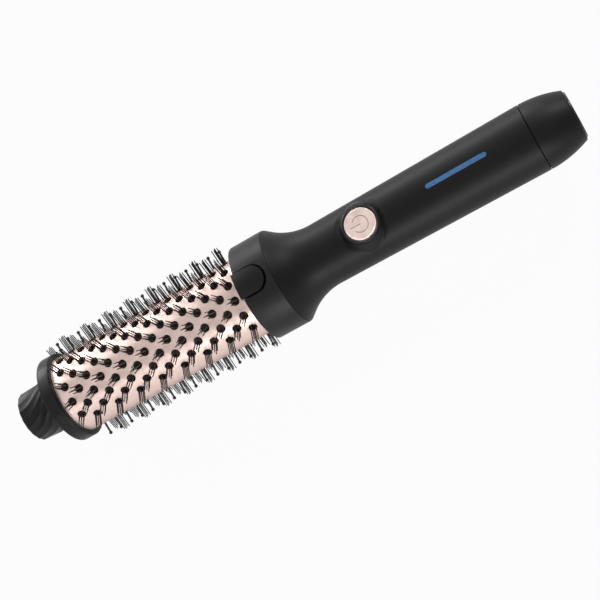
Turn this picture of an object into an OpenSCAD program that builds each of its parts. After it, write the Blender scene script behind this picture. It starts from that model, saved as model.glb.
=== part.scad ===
// Heated round styling brush: a rose-gold barrel with tufted bristles on a
// black handle. The brush's axis is +X, towards the nose, and the power button
// is on +Z. The origin is the mouth of the cord bore, at the handle's end.

/* [Barrel] */
// Outside diameter of the heated barrel
barrel_d = 38; // [34:0.5:44]
// Wall of the barrel tube
barrel_wall = 1.2; // [0.8:0.1:1.6]
// Length of barrel between the collar and the tip flange
barrel_l = 101.8; // [76:0.2:140]

/* [Bristles] */
// Angle between neighbouring rows of tufts
row_step = 11.64; // [11:0.02:12.6]
// Distance between tufts along a row
tuft_spacing = 12.22; // [10:0.02:15]
// Diameter of the hole round a tuft
tuft_hole_d = 4.2; // [3.2:0.1:4.8]
// Height of a tuft above the barrel
tuft_h = 8.4; // [6:0.2:11]
// Thickness of one strand
strand_d = 0.8; // [0.6:0.1:1]
// Height of a ball-ended pin above the barrel
pin_h = 5.6; // [4:0.2:8]
// Diameter of the ball on a pin
pin_ball_d = 1.7; // [1.4:0.1:2.2]

/* [Tip] */
// How far the tip flange stands above the barrel
flange_rise = 2.65; // [1.5:0.05:5]
// Thickness of the tip flange
flange_l = 6.6; // [5:0.1:9]
// Length of the cool tip
knob_l = 18.1; // [16:0.1:26]
// Diameter of the cool tip at its end
knob_d = 25; // [20:0.5:30]
// Diameter of the cool tip beside the flange
knob_root_d = 28; // [22:0.5:34]
// Depth of the spiral flutes
flute_depth = 0.9; // [0.4:0.1:1.2]
// Number of spiral flutes
flutes = 8; // [6:1:10]

/* [Collar] */
// How far the collar stands above the barrel
collar_rise = 4.4; // [3.8:0.1:6]
// Length of the collar
collar_l = 16.8; // [15.6:0.2:24]
// Width of the release tab
tab_w = 12.2; // [9:0.2:14]
// Length of the release tab
tab_l = 14.1; // [13:0.1:15]
// How far the release tab stands above the collar
tab_proud = 0.8; // [0.4:0.1:1.6]

/* [Handle] */
// Length of the handle between the end cap and the collar
handle_l = 126; // [110:1:160]
// Diameter of the handle at the end cap
handle_rear_d = 31.6; // [30:0.2:36]
// Diameter of the handle at its waist, before the flare
handle_waist_d = 29.8; // [29:0.2:33]
// Bore of the handle
handle_bore_d = 25.8; // [24:0.1:27]
// Radius of the curve that flares to the collar
flare_r = 28; // [20:1:34]

/* [Button] */
// Diameter of the power button
button_d = 14.8; // [12:0.1:16]
// Distance from the collar's back edge to the button's centre
button_back = 43.5; // [38:0.5:52]
// Travel of the power button
button_travel = 0.6; // [0.3:0.1:0.7]

/* [Light bar] */
// Length of the light bar
light_l = 29.5; // [16:0.5:36]
// Width of the light bar
light_w = 2.15; // [1.6:0.05:3]
// Distance from the end cap's seam to the light bar's middle
light_x = 35.2; // [30:0.2:42]

/* [End cap] */
// Length of the end cap
cap_l = 19.2; // [17:0.2:26]
// Diameter of the end cap at its end
cap_end_d = 23.8; // [21:0.1:27]
// Width of the end cap's rim round the swivel disc
cap_lip = 0.9; // [0.6:0.1:1.5]
// How far the swivel disc stands out of the end cap
gland_proud = 0.8; // [0.4:0.1:1.6]
// Bore for the cord
cord_bore_d = 7; // [5:0.5:8]

/* [Hidden] */
$fn = 64;
eps = 0.01;
over = 1;              // how far a cut runs past the face that it opens
run_gap = 0.05;        // radial clearance of a running fit
fit_gap = 0.1;         // clearance of a pushed-in spigot
seat_gap = 0.2;        // clearance of a part that only drops in
air_gap = 0.3;         // clearance of a part that moves past another
screw_gap = 0.15;      // clearance round a screw

// Stations along the axis
x_cap = gland_proud;
x_seam = x_cap + cap_l;
x_crease = x_seam + handle_l;
x_front = x_crease + collar_l;
x_flange = x_front + barrel_l;
x_tip = x_flange + flange_l;
x_mid = (x_front + x_flange) / 2;

// Radii
barrel_r = barrel_d / 2;
barrel_ri = barrel_r - barrel_wall;
flange_r = barrel_r + flange_rise;
collar_r = barrel_r + collar_rise;
waist_r = handle_waist_d / 2;
rear_r = handle_rear_d / 2;
bore_r = handle_bore_d / 2;
wall = waist_r - bore_r;
edge_r = 0.6;                        // softened edge of the turned black parts

// Rows of bristles: eleven rows of tufts and one row of pins on each half
row_reach = 5;                       // rows of tufts each side of the middle row
pin_row = -(row_reach + 1);
tufts = floor(barrel_l / tuft_spacing);
pins = 2 * tufts;
pin_pitch = tuft_spacing / 2;
row_shift = 0.25;                    // rows are staggered by this share of the pitch, each way

// Turn of the heater about the axis: it faces the bare bands
bare_angle = (row_reach * row_step + 180 + pin_row * row_step) / 2;
heater_turn = bare_angle - 90;

// Head base, and the plug that it pushes into the tube
socket_l = 7.8;                      // depth of the ledge inside the collar
x_head = x_crease + socket_l + seat_gap;
head_flange_l = 1.5;
x_tube = x_head + head_flange_l;     // where the barrel tube starts
plug_l = 7;
x_plug = x_tube + plug_l;
spigot_l = 2.3;                      // of the tip flange, in the tube's other end
block_space = 1.1;                   // from the socket block to the handle's bore
block_r = bore_r - block_space;
block_rim = 2.1;
head_boss_r = block_r - block_rim;
head_boss_l = 7.5;

// Strips that carry the bristles, each on a flat of its core
strip_t = 2.1;
strip_gap = 0.32;                    // between neighbouring strips, at their feet
strip_top = barrel_ri - 2 * seat_gap;
core_r = strip_top - strip_t;
strip_w = 2 * core_r * tan(row_step / 2) - strip_gap;

// Heater: it fits between the strips of pins
lead_room = 2.9;                     // space between the plug and the heater
heater_x0 = x_plug + lead_room;
heater_x1 = x_flange - spigot_l - 2 * seat_gap;
heater_l = heater_x1 - heater_x0;
pin_turn = 90 - heater_turn + pin_row * row_step;
strip_space = 0.44;                  // from the heater to the strips beside it
heater_h = 2 * (core_r * sin(pin_turn) - strip_w / 2 * cos(pin_turn) - strip_space);
film_t = 0.3;
plate_t = 0.5;
stone_t = 2.6;
spreader_y = stone_t / 2 + plate_t + film_t;
spreader_r = barrel_ri - seat_gap;

// Release tab
tab_top = collar_r + tab_proud;
tab_over = 0.7;                      // how far the tab stands out over the barrel
x_tab_front = x_front + tab_over;
x_tab_back = x_tab_front - tab_l;
tab_pin_d = 1.5;
tab_heel = 5.6;                      // from the tab's round end to its pin
x_tab_pin = x_tab_back + tab_heel;
tab_pin_z = barrel_r + 2;
tab_under = barrel_r + 0.7;
tab_rear_under = barrel_r + 2.2;
tab_back_gap = 0.9;
catch_reach = 4.5;                   // from the pin to the catch
catch_x = x_tab_pin + catch_reach;
catch_l = 1.5;
catch_w = 4;
catch_z = barrel_r - 0.8;
catch_run = 1.3;                     // room ahead of and behind the catch
spring_x = x_tab_back + 2.1;
spring_d = 3;
spring_l = 3;
spring_wire = 0.4;

// Button
button_x = x_crease - button_back;
button_gap = 0.15;
bezel_wall = 0.7;
bezel_land = 0.6;                    // ledge of the handle outside the bezel
bezel_r = button_d / 2 + button_gap + bezel_wall;
bezel_top = waist_r + 0.85;
bezel_seat = waist_r - 1.1;

// Board: it lies below the button
board_drop = 5;                      // from the handle's bore to the board's top
board_top = bore_r - board_drop;
board_t = 1.6;
board_under = board_top - board_t;
board_gap = 0.7;                     // from the board's edge to the handle's bore
board_w = 2 * (sqrt(bore_r ^ 2 - board_top ^ 2) - board_gap);
cap_spigot_l = 6;
tray_r = bore_r - air_gap;
x_tray = x_seam + cap_spigot_l + 2;
x_board = x_tray + 3;
block_l = 14;                        // space for the socket block
x_tray_end = x_crease - block_l;
board_l = x_tray_end - x_board - block_l / 2;
switch_h = 3.1;
switch_w = 6;
plunger_d = 3.4;
plunger_in = 1;                      // how far the plunger stands in the switch
plunger_top = bezel_seat - 1.5;

// Swivel of the cord
gland_r = cap_end_d / 2 - cap_lip;
disc_t = 2.4;
shank_wall = 3.5;
shank_r = cord_bore_d / 2 + shank_wall;
web_l = 7;                           // length of the bearing in the end cap
x_web = disc_t + air_gap;
x_clip = x_web + web_l + fit_gap;
clip_t = 1;
x_rings = x_clip + clip_t + 0.8;
ring_l = 1.6;
ring_t = 0.6;
ring_pitch = ring_l + 1;
shank_end = x_rings + 2 * ring_pitch;

// A body of revolution about the brush's axis: points are [radius, x]
module turned(points) {
    rotate([0, 90, 0]) rotate_extrude() polygon(points);
}

// A round bar along the axis
module bar(x0, x1, r) {
    translate([x0, 0, 0]) rotate([0, 90, 0]) cylinder(h = x1 - x0, r = r);
}

// A straight round wire between two points
module wire(a, b, d) {
    run = b - a;
    reach = norm(run);
    translate(a)
        rotate([0, acos(run[2] / reach), atan2(run[1], run[0])])
            cylinder(h = reach, d = d, $fn = 16);
}

// Turns what is drawn on +Z to an angle about the axis, from +Z towards +Y
module at_angle(angle) {
    rotate([-angle, 0, 0]) children();
}

function row_angle(row, half) = row * row_step + 180 * half;
function tuft_x(row, i) = x_mid
    + (i - (tufts - 1) / 2 + (row % 2 == 0 ? row_shift : -row_shift)) * tuft_spacing;
function pin_x(i) = x_mid + (i - (pins - 1) / 2) * pin_pitch;

// ---- Barrel head ----

pin_hole_gap = 0.25;                 // lets the ball pass when the strip goes in
pin_hole_d = pin_ball_d + 2 * pin_hole_gap;

// Slot in the tube and the head base for the release tab's catch
module catch_slot(z0, z1) {
    translate([catch_x - catch_run / 3, -catch_w / 2 - air_gap, z0])
        cube([catch_l + catch_run, catch_w + 2 * air_gap, z1 - z0]);
}

module barrel() {
    color("#dcb8ad") difference() {
        bar(x_tube, x_flange, barrel_r);
        bar(x_tube - over, x_flange + over, barrel_ri);
        for (half = [0, 1]) {
            for (row = [-row_reach : row_reach]) at_angle(row_angle(row, half))
                for (i = [0 : tufts - 1]) translate([tuft_x(row, i), 0, barrel_ri - over])
                    cylinder(h = barrel_wall + 2 * over, d = tuft_hole_d, $fn = 24);
            at_angle(row_angle(pin_row, half))
                for (i = [0 : pins - 1]) translate([pin_x(i), 0, barrel_ri - over])
                    cylinder(h = barrel_wall + 2 * over, d = pin_hole_d, $fn = 16);
        }
        catch_slot(barrel_ri - over, barrel_r + over);
    }
}

// The slice of backing that carries one row
module strip_bar() {
    translate([heater_x0, -strip_w / 2, core_r]) cube([heater_l, strip_w, strip_t]);
}

module tuft_strips(half) {
    color("#1c1c1e") for (row = [-row_reach : row_reach]) at_angle(row_angle(row, half)) {
        strip_bar();
        for (i = [0 : tufts - 1]) for (side = [-1, 1])
            translate([tuft_x(row, i) + side * strand_d, 0, strip_top - eps])
                cylinder(h = barrel_r + tuft_h - strip_top, d = strand_d, $fn = 4);
    }
}

module tuft_strips_upper() {
    tuft_strips(0);
}

module tuft_strips_lower() {
    tuft_strips(1);
}

module pin_strip(half) {
    ball_z = barrel_r + pin_h - pin_ball_d / 2;
    color("#1c1c1e") at_angle(row_angle(pin_row, half)) {
        strip_bar();
        for (i = [0 : pins - 1]) translate([pin_x(i), 0, 0]) {
            translate([0, 0, strip_top - eps])
                cylinder(h = ball_z - strip_top, d = strand_d, $fn = 4);
            translate([0, 0, ball_z]) sphere(d = pin_ball_d, $fn = 16);
        }
    }
}

module pin_strip_left() {
    pin_strip(1);
}

module pin_strip_right() {
    pin_strip(0);
}

// Moulded bed with one flat under each strip
module bristle_core(half) {
    flats = [for (row = [pin_row : row_reach + 1]) (row - 0.5) * row_step + 180 * half];
    corner_r = core_r / cos(row_step / 2);
    color("#3a332e") intersection() {
        translate([heater_x0, 0, 0]) rotate([90, 0, 90]) linear_extrude(heater_l)
            polygon(concat([[0, 0]], [for (a = flats) corner_r * [sin(a), cos(a)]]));
        at_angle(heater_turn + 180 * half)
            translate([heater_x0, -barrel_r, heater_h / 2])
                cube([heater_l, 2 * barrel_r, barrel_r]);
    }
}

module bristle_core_upper() {
    bristle_core(0);
}

module bristle_core_lower() {
    bristle_core(1);
}

thermistor_d = 2.4;
thermistor_l = 21;
fuse_d = 4;
fuse_l = 11;
sensor_share = 0.6;                  // the sensors lie at this share of the radius
sensor_proud = 0.6;                  // how far a sensor stands out of its hole
sensor_room = 1;                     // depth of the hole past the sensor

// Aluminium block that carries heat to a bare band of the tube
module heat_spreader(side, sensor_d, sensor_l) {
    color("#b9bcc0") at_angle(heater_turn) difference() {
        intersection() {
            bar(heater_x0, heater_x1, spreader_r);
            translate([heater_x0, side > 0 ? spreader_y : -spreader_y - barrel_r, -heater_h / 2])
                cube([heater_l, barrel_r, heater_h]);
        }
        translate([heater_x0 - over, side * spreader_r * sensor_share, 0]) rotate([0, 90, 0])
            cylinder(h = sensor_l + sensor_room + over, d = sensor_d + 2 * seat_gap);
    }
}

module heat_spreader_left() {
    heat_spreader(1, thermistor_d, thermistor_l);
}

module heat_spreader_right() {
    heat_spreader(-1, fuse_d, fuse_l);
}

stones = 3;
stone_gap = 2;
stone_margin = 6;                    // from the heater's ends to the stones
stone_rim = 0.6;
stone_l = (heater_l - 2 * stone_margin - (stones - 1) * stone_gap) / stones;
stone_h = heater_h - 2 * stone_rim;
plate_tail = 2;                      // the plates reach back towards the plug
plate_short = 4;                     // and stop short of the heater's front end
film_short = 0.5;

module ptc_stones() {
    color("#5c5450") at_angle(heater_turn) for (i = [0 : stones - 1])
        translate([heater_x0 + stone_margin + i * (stone_l + stone_gap), -stone_t / 2, -stone_h / 2])
            cube([stone_l, stone_t, stone_h]);
}

// A flat plate against one side of the stones, from y0 outwards
module heater_plate(side, x0, x1, y0, t, h) {
    translate([x0, side > 0 ? y0 : -y0 - t, -h / 2]) cube([x1 - x0, t, h]);
}

module electrode_plates() {
    color("#c9a24a") at_angle(heater_turn) for (side = [-1, 1])
        heater_plate(side, heater_x0 - plate_tail, heater_x1 - plate_short, stone_t / 2,
            plate_t, stone_h);
}

module insulating_films() {
    color("#c07a2c") at_angle(heater_turn) for (side = [-1, 1])
        heater_plate(side, heater_x0 + film_short, heater_x1 - film_short,
            stone_t / 2 + plate_t, film_t, heater_h);
}

// A sensor in its hole in a heat spreader
module sensor(side, d, l) {
    at_angle(heater_turn)
        translate([heater_x0 - sensor_proud, side * spreader_r * sensor_share, 0])
            rotate([0, 90, 0]) cylinder(h = l, d = d);
}

module thermistor() {
    color("#7a2f24") sensor(1, thermistor_d, thermistor_l);
}

module thermal_fuse() {
    color("#d8d4c8") sensor(-1, fuse_d, fuse_l);
}

pin_y = 4;
pin_z = 3;
pin_r = 0.9;
pin_reach = 8;                       // how far a contact pin stands out of the boss
pin_tail = 1.6;
passage_r = 6.4;                     // passage through the plug for the leads
x_passage = x_head + 2.6;
x_boss = x_head - head_boss_l;
catch_room = 1.6;                    // depth of the slot below the catch

// What is drawn on the axis, copied to the four contacts
module at_contacts() {
    for (y = [-pin_y, pin_y]) for (z = [-pin_z, pin_z]) translate([0, y, z]) children();
}

module head_base() {
    color("#2b2a29") difference() {
        union() {
            bar(x_boss, x_head + eps, head_boss_r);
            bar(x_head, x_tube, barrel_r - fit_gap);
            bar(x_tube - eps, x_plug, barrel_ri - fit_gap);
        }
        bar(x_passage, x_plug + over, passage_r);
        at_contacts() bar(x_boss - over, x_passage + over, pin_r);
        catch_slot(catch_z - catch_room, barrel_r + over);
    }
}

module contact_pins() {
    color("#c9a24a") at_contacts() bar(x_boss - pin_reach, x_passage + pin_tail, pin_r);
}

lead_d = 1.1;
lead_joint_d = 1.4;
lead_gap = 0.4;
lead_wall = 1.2;                     // from the lead's bend to the passage's wall
lead_drop = 1;

module lead(points) {
    for (i = [1 : len(points) - 1]) wire(points[i - 1], points[i], lead_d);
    for (i = [1 : len(points) - 2]) translate(points[i]) sphere(d = lead_joint_d, $fn = 16);
}

module heater_leads() {
    x0 = x_passage + pin_tail + lead_gap;
    plate_y = stone_t / 2 + plate_t + lead_d / 2 + lead_gap;
    x_bend = x_plug + lead_room / 2;
    color("#d9d9d6") for (side = [-1, 1]) {
        lead([[x0, side * pin_y, pin_z], [heater_x0 - sensor_proud, side * plate_y, pin_z - lead_drop]]);
        lead([[x0, side * pin_y, -pin_z], [x_bend, side * (passage_r - lead_wall), 0],
            [x_bend, side * spreader_r * sensor_share, 0]]);
    }
}

// ---- Tip ----

axle_r = 3;
axle_thread_r = 1.5;
axle_head_r = 4.8;
axle_head_l = 2.2;
thread_l = 7.5;
thread_room = 0.5;
thread_gap = 0.03;
washer_t = 0.4;
washer_rim = 0.4;
tip_gap = washer_t + 2 * run_gap;
x_knob = x_tip + tip_gap;
x_nose = x_knob + knob_l;
tip_cap_r = 7;
tip_cap_t = 1.6;
x_axle_head = x_nose - tip_cap_t - axle_head_l - 2;

module tip_flange() {
    color("#1b1b1c") difference() {
        turned([[0, x_flange - spigot_l], [barrel_ri - fit_gap, x_flange - spigot_l],
            [barrel_ri - fit_gap, x_flange], [flange_r - edge_r, x_flange],
            [flange_r, x_flange + edge_r], [flange_r, x_tip - edge_r],
            [flange_r - edge_r, x_tip], [0, x_tip]]);
        bar(x_tip - thread_l, x_tip + over, axle_thread_r + thread_gap);
    }
}

module tip_axle() {
    color("#c8c8c8") union() {
        bar(x_tip - thread_l + thread_room, x_tip + eps, axle_thread_r);
        bar(x_tip, x_axle_head + eps, axle_r);
        bar(x_axle_head, x_axle_head + axle_head_l, axle_head_r);
    }
}

module tip_washer() {
    color("#e8e6df") difference() {
        bar(x_tip + run_gap, x_tip + run_gap + washer_t, axle_head_r + washer_rim);
        bar(x_tip - over, x_knob + over, axle_r + run_gap);
    }
}

// The cool tip is a ring of scallops that turn as they run to the nose and
// swell out to meet the flange.
flute_turn = 38;
flute_sides = 6;
knob_rings = 9;
knob_edge = 1;                       // rounding of the nose
knob_edge_mid = 0.3;                 // share of it at the middle of the rounding
knob_pts = flutes * flute_sides;
knob_flare_l = knob_l / 2;
knob_seat_r = axle_head_r + 2 * seat_gap;

function knob_profile(t) = let (back = max(0, 1 - t * knob_l / knob_flare_l))
    knob_d / 2 + (knob_root_d - knob_d) / 2 * back ^ 2;
function knob_x(j) = j < knob_rings ? x_knob + j / knob_rings * (knob_l - knob_edge)
    : x_nose - knob_edge * (j == knob_rings ? knob_edge_mid : 0);
function knob_trim(j) = j < knob_rings ? 0 : knob_edge * (j == knob_rings ? knob_edge_mid : 1);
function knob_point(j, i) = let (
        x = knob_x(j),
        t = (x - x_knob) / knob_l,
        a = 360 * i / knob_pts + flute_turn * t,
        r = knob_profile(t) - knob_trim(j) - flute_depth * sin(180 * i / flute_sides) ^ 2)
    [x, r * sin(a), r * cos(a)];

module knob_skin() {
    n = knob_pts;
    points = [for (j = [0 : knob_rings + 1]) for (i = [0 : n - 1]) knob_point(j, i)];
    sides = [for (j = [0 : knob_rings]) for (i = [0 : n - 1]) for (half = [0, 1])
        let (a = j * n + i, b = j * n + (i + 1) % n)
            half == 0 ? [a, b, b + n] : [a, b + n, a + n]];
    last = (knob_rings + 1) * n;
    polyhedron(points, concat(sides, [[for (i = [n - 1 : -1 : 0]) i]],
        [[for (i = [0 : n - 1]) last + i]]));
}

module cool_tip() {
    color("#171718") difference() {
        knob_skin();
        bar(x_knob - over, x_nose + over, axle_r + run_gap);
        bar(x_axle_head - fit_gap, x_nose + over, knob_seat_r);
        bar(x_nose - tip_cap_t, x_nose + over, tip_cap_r);
    }
}

module tip_cap() {
    color("#171718") bar(x_nose - tip_cap_t, x_nose, tip_cap_r - run_gap);
}

// ---- Collar and release tab ----

screw_ring_r = waist_r + 0.3;
screw_angles = [60, 180, 300];
screw_r = 1.1;
screw_head_r = 2.3;
screw_head_l = 1.8;
screw_l = 14;
screw_boss_r = 2.6;
screw_boss_l = 10;
x_ledge = x_crease + socket_l;       // the screw heads lie below this face
tab_tongue = 1.6;                    // thickness left under the tab's rear end
tab_pin_end = 1.3;                   // how far the tab's pin runs into the collar
tab_pin_gap = 0.02;

module tab_outline(grow, back) {
    r = tab_w / 2 + grow;
    x = x_tab_back - back + r;
    translate([x, 0]) circle(r = r);
    translate([x, -r]) square([x_tab_front + 2 * over - x, 2 * r]);
}

module at_screws() {
    for (a = screw_angles) at_angle(a) translate([0, 0, screw_ring_r]) children();
}

// A pin across the tab
module cross_pin(reach, d) {
    translate([x_tab_pin, -tab_w / 2 - reach, tab_pin_z]) rotate([-90, 0, 0])
        cylinder(h = tab_w + 2 * reach, d = d);
}

module collar() {
    color("#232324") difference() {
        turned([[head_boss_r + air_gap, x_crease], [collar_r, x_crease],
            [collar_r, x_front - edge_r], [collar_r - edge_r, x_front],
            [barrel_r + seat_gap, x_front], [barrel_r + seat_gap, x_ledge],
            [head_boss_r + air_gap, x_ledge]]);
        difference() {
            translate([0, 0, barrel_r - 2 * over]) linear_extrude(collar_r)
                tab_outline(air_gap, tab_back_gap);
            bar(x_crease, x_ledge, tab_rear_under - tab_tongue);
        }
        translate([spring_x, 0, tab_rear_under - spring_l - seat_gap])
            cylinder(h = spring_l + over, d = spring_d + 2 * seat_gap);
        cross_pin(tab_pin_end + fit_gap, tab_pin_d + 2 * tab_pin_gap);
        at_screws() {
            bar(x_crease - over, x_ledge + over, screw_r + screw_gap);
            bar(x_ledge - screw_head_l, x_ledge + over, screw_head_r + screw_gap);
        }
    }
}

module collar_screws() {
    color("#9a9da0") at_screws() {
        bar(x_ledge - screw_head_l, x_ledge, screw_head_r);
        bar(x_ledge - screw_l, x_ledge - screw_head_l + eps, screw_r);
    }
}

module release_tab() {
    color("#1a1a1b") difference() {
        union() {
            intersection() {
                translate([0, 0, tab_under]) linear_extrude(collar_r) intersection() {
                    tab_outline(0, 0);
                    translate([0, -tab_w]) square([x_tab_front, 2 * tab_w]);
                }
                bar(x_tab_back - over, x_tab_front + over, tab_top);
            }
            translate([catch_x, -catch_w / 2, catch_z])
                cube([catch_l, catch_w, tab_under - catch_z + eps]);
        }
        translate([x_tab_back - over, -tab_w, tab_under - over])
            cube([x_tab_pin - x_tab_back, 2 * tab_w, tab_rear_under - tab_under + over]);
        cross_pin(over, tab_pin_d + 2 * run_gap);
    }
}

module tab_pin() {
    color("#c8c8c8") cross_pin(tab_pin_end, tab_pin_d);
}

module tab_spring() {
    color("#c8c8c8") translate([spring_x, 0, tab_rear_under - spring_l - fit_gap]) difference() {
        cylinder(h = spring_l, d = spring_d);
        translate([0, 0, -over]) cylinder(h = spring_l + 2 * over, d = spring_d - 2 * spring_wire);
    }
}

// ---- Handle ----

flare_angle = 38;
flare_steps = 10;
flare_x = x_crease - flare_r * sin(flare_angle)
    - (collar_r - waist_r - flare_r * (1 - cos(flare_angle))) / tan(flare_angle);

// Surface of the flare, offset inwards by depth: [radius, x] points
function flare(depth) = [for (j = [0 : flare_steps])
    let (a = flare_angle * j / flare_steps)
        [waist_r + flare_r - (flare_r + depth) * cos(a), flare_x + (flare_r + depth) * sin(a)]];
function flare_mouth(depth) = let (last = flare(depth)[flare_steps])
    [last[0] + (x_crease - last[1]) * tan(flare_angle), x_crease];

module handle_solid() {
    turned(concat([[0, x_seam], [rear_r, x_seam]], flare(0), [flare_mouth(0), [0, x_crease]]));
}

// Round seat that the button stands in: it runs down into the handle's sides.
// Each step is how far it lies outside the bezel's ledge, and below the waist.
boss_steps = [[3, 5.6], [1.4, 2.7], [0.4, 0.9], [0, -0.2], [-0.3, -0.5]];

module button_boss() {
    r = bezel_r + bezel_land;
    foot = boss_steps[0][0];
    top = boss_steps[len(boss_steps) - 1][1];
    translate([button_x, 0, 0]) rotate_extrude() polygon(concat([[0, 0], [r + foot, 0]],
        [for (s = boss_steps) [r + s[0], waist_r - s[1]]], [[0, waist_r - top]]));
}

light_gap = 0.05;

module light_slot(grow) {
    x0 = x_seam + light_x - light_l / 2;
    for (x = [x0 + light_w / 2, x0 + light_l - light_w / 2])
        translate([x, 0]) circle(d = light_w + 2 * grow, $fn = 24);
    translate([x0 + light_w / 2, -light_w / 2 - grow])
        square([light_l - light_w, light_w + 2 * grow]);
}

module handle_bore() {
    mouth = flare_mouth(wall);
    turned(concat([[0, x_seam - over], [bore_r, x_seam - over]], flare(wall),
        [mouth, mouth + [over, over], [0, x_crease + over]]));
}

button_stem_d = button_d - 3.2;

module handle_shell() {
    color("#202021") difference() {
        union() {
            difference() {
                union() {
                    handle_solid();
                    button_boss();
                }
                handle_bore();
            }
            intersection() {
                handle_solid();
                at_screws() bar(x_crease - screw_boss_l, x_crease, screw_boss_r);
            }
        }
        at_screws() bar(x_ledge - screw_l - over, x_crease + over, screw_r);
        translate([button_x, 0, bezel_seat]) cylinder(h = rear_r, r = bezel_r + run_gap);
        translate([button_x, 0, 0]) cylinder(h = rear_r, d = button_stem_d + 2 * air_gap);
        linear_extrude(rear_r + over) light_slot(light_gap);
    }
}

cap_arc_r = ((rear_r - cap_end_d / 2) ^ 2 + cap_l ^ 2) / (2 * (rear_r - cap_end_d / 2));
cap_steps = 8;
cap_wall = 2.2;

function cap_surface(j) = let (x = cap_l * j / cap_steps)
    [rear_r - cap_arc_r + sqrt(cap_arc_r ^ 2 - x ^ 2), x_seam - x];

module end_cap() {
    color("#1e1e1f") difference() {
        union() {
            turned(concat([[0, x_seam]], [for (j = [0 : cap_steps]) cap_surface(j)], [[0, x_cap]]));
            bar(x_seam - over, x_seam + cap_spigot_l, bore_r - fit_gap);
        }
        bar(-over, x_web, gland_r + seat_gap);
        bar(-over, x_seam, shank_r + run_gap);
        bar(x_web + web_l, x_seam + cap_spigot_l + over, bore_r - cap_wall);
    }
}

groove_t = 0.8;                      // depth of the clip's groove

module cord_gland() {
    color("#151516") difference() {
        union() {
            turned([[0, 0], [gland_r - edge_r, 0], [gland_r, edge_r], [gland_r, disc_t],
                [0, disc_t]]);
            bar(disc_t - eps, x_clip - run_gap, shank_r);
            bar(x_clip - fit_gap, x_clip + clip_t + fit_gap, shank_r - groove_t);
            bar(x_clip + clip_t + run_gap, shank_end, shank_r);
        }
        bar(-over, shank_end + over, cord_bore_d / 2);
        ring_grooves(shank_r + over);
    }
}

// The two rings' places on the shank, out to a radius
module ring_grooves(r) {
    for (i = [0, 1]) difference() {
        bar(x_rings + i * ring_pitch, x_rings + i * ring_pitch + ring_l, r);
        bar(x_rings + i * ring_pitch - over, x_rings + (i + 1) * ring_pitch, shank_r - ring_t);
    }
}

clip_reach = 1.4;
clip_mouth = 4.4;

module gland_clip() {
    color("#8d9093") difference() {
        bar(x_clip, x_clip + clip_t, shank_r + clip_reach);
        bar(x_clip - over, x_clip + clip_t + over, shank_r - groove_t + run_gap);
        translate([x_clip - over, -clip_mouth / 2, -2 * shank_r])
            cube([clip_t + 2 * over, clip_mouth, 2 * shank_r]);
    }
}

module slip_rings() {
    color("#c9a24a") ring_grooves(shank_r);
}

brush_t = 0.4;
brush_w = 1.6;
brush_foot = 3;
brush_lift = 0.15;
brush_y = [-3, 1.4];

// Sprung blades that press on the slip rings and reach back to the board
module contact_brushes() {
    z = shank_r + brush_lift;
    x_post = x_board - seat_gap;
    color("#b87f3a") for (i = [0, 1]) translate([0, brush_y[i], 0]) {
        x = x_rings + i * ring_pitch + (ring_l - brush_w) / 2;
        translate([x, 0, z]) cube([x_post - x, brush_w, brush_t]);
        translate([x_post - brush_t, 0, z]) cube([brush_t, brush_w, board_top + brush_t - z]);
        translate([x_post - brush_t, 0, board_top]) cube([brush_foot, brush_w, brush_t]);
    }
}

// ---- Button and light bar ----

button_t = 1;
button_sink = 0.2;                   // the button's face lies this far below its bezel
symbol_r = button_d / 4;
symbol_w = 0.55;
symbol_depth = 0.3;
symbol_open = 38;                    // half of the gap in the symbol's ring

module button_bezel() {
    color("#111112") translate([button_x, 0, bezel_seat]) difference() {
        cylinder(h = bezel_top - bezel_seat, r = bezel_r);
        translate([0, 0, -over])
            cylinder(h = bezel_top - bezel_seat + 2 * over, d = button_d + 2 * button_gap);
    }
}

module power_symbol() {
    rotate([0, 0, symbol_open]) rotate_extrude(angle = 360 - 2 * symbol_open)
        translate([symbol_r - symbol_w / 2, 0]) square([symbol_w, over]);
    translate([0, -symbol_w / 2, 0]) cube([symbol_r * 1.27, symbol_w, over]);
}

module power_button() {
    face = bezel_top - button_sink;
    color("#dcb8ad") translate([button_x, 0, 0]) difference() {
        union() {
            translate([0, 0, face - button_t]) cylinder(h = button_t, d = button_d);
            translate([0, 0, plunger_top])
                cylinder(h = face - button_t / 2 - plunger_top, d = button_stem_d);
        }
        translate([0, 0, face - symbol_depth]) power_symbol();
    }
}

module switch_plunger() {
    z = board_top + switch_h - plunger_in;
    color("#1d1d1d") translate([button_x, 0, z]) cylinder(h = plunger_top - z, d = plunger_d);
}

module tact_switch() {
    color("#3c3f44") translate([button_x, 0, board_top]) difference() {
        translate([-switch_w / 2, -switch_w / 2, 0]) cube([switch_w, switch_w, switch_h]);
        translate([0, 0, switch_h - plunger_in - button_travel - air_gap])
            cylinder(h = switch_h, d = plunger_d + 2 * button_gap);
    }
}

leds = 5;
led_h = 0.8;
led_l = 3.2;
led_w = 1.6;

module light_window() {
    color("#3f6796") intersection() {
        translate([0, 0, board_top + led_h + air_gap]) linear_extrude(rear_r) light_slot(0);
        handle_solid();
    }
}

module indicator_leds() {
    color("#e9e6c8") for (i = [0 : leds - 1])
        translate([x_seam + light_x + (i - (leds - 1) / 2) * light_l / leds - led_l / 2,
            -led_w / 2, board_top]) cube([led_l, led_w, led_h]);
}

// ---- Board and tray ----

tray_wall = 1.6;
rail_w = 2.2;
rail_h = 3;
rail_in = 0.5;                       // from the rail's middle to the board's edge
post_r = 2.6;
pilot_l = 8;
board_screw_r = 1;
board_screw_l = 6;                   // how far a screw runs below the board
board_screw_head_r = 1.9;
board_screw_head_l = 1.2;
board_screw_in = [6.5, 5];           // from the board's rear and front ends
board_screw_x = [x_board + board_screw_in[0], x_board + board_l - board_screw_in[1]];

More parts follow.
